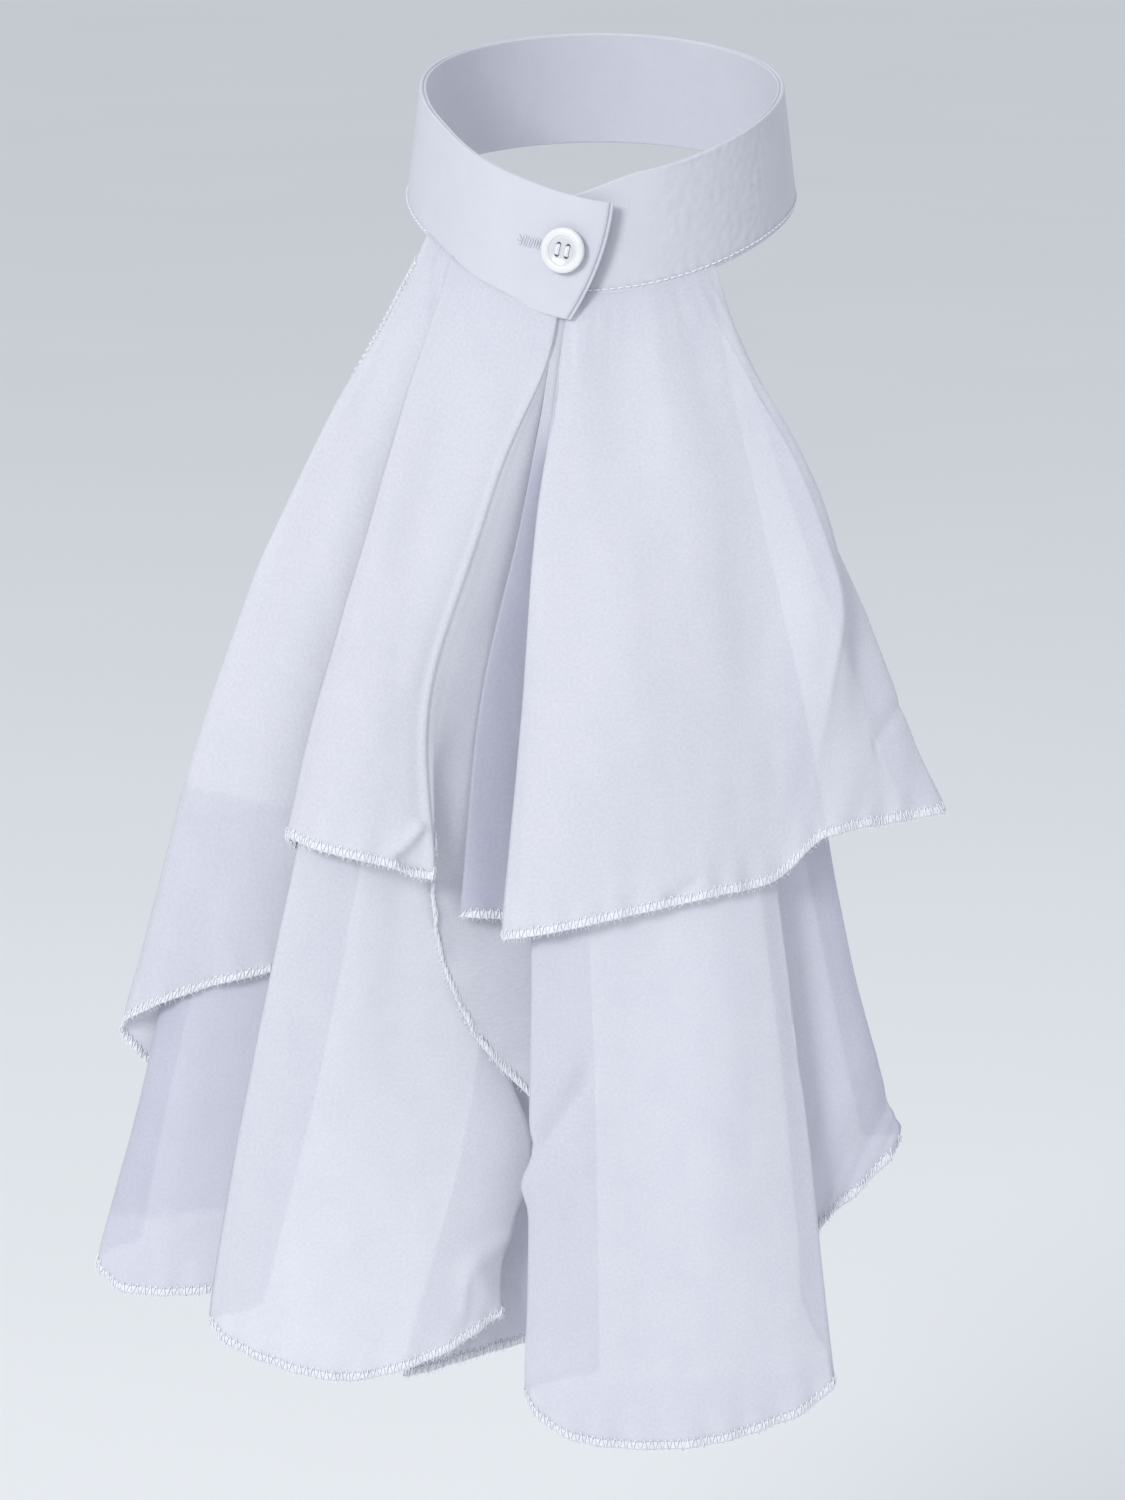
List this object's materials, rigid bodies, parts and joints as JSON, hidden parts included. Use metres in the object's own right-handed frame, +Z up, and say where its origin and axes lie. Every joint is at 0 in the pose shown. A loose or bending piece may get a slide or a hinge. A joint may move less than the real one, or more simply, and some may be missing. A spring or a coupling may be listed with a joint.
{
  "type": "jabot",
  "caption": "Stand-up neckband closed by a button, with two gathered tiers of chiffon that fall in pleated halves over the chest.",
  "frame": {"origin": "the middle of the neck opening, on the neck's axis, between the band's top and bottom edges at the sides", "axes": "+Z up the neck, -Y the front where the ruffles hang, +X to the wearer's left"},
  "size_m": [0.2849, 0.1973, 0.4509],
  "materials": {
    "band_cloth": "smooth white double cloth, matt",
    "button": "polished white resin with a raised rim",
    "thread": "white sewing thread",
    "chiffon": "sheer white chiffon with an overlocked hem"
  },
  "bodies": {
    "root": {"neck_band": "band_cloth", "button": "button", "button_thread": "thread", "upper_ruffle_left": "chiffon", "upper_ruffle_right": "chiffon", "lower_ruffle_left": "chiffon", "lower_ruffle_right": "chiffon"}
  },
  "joints": []
}
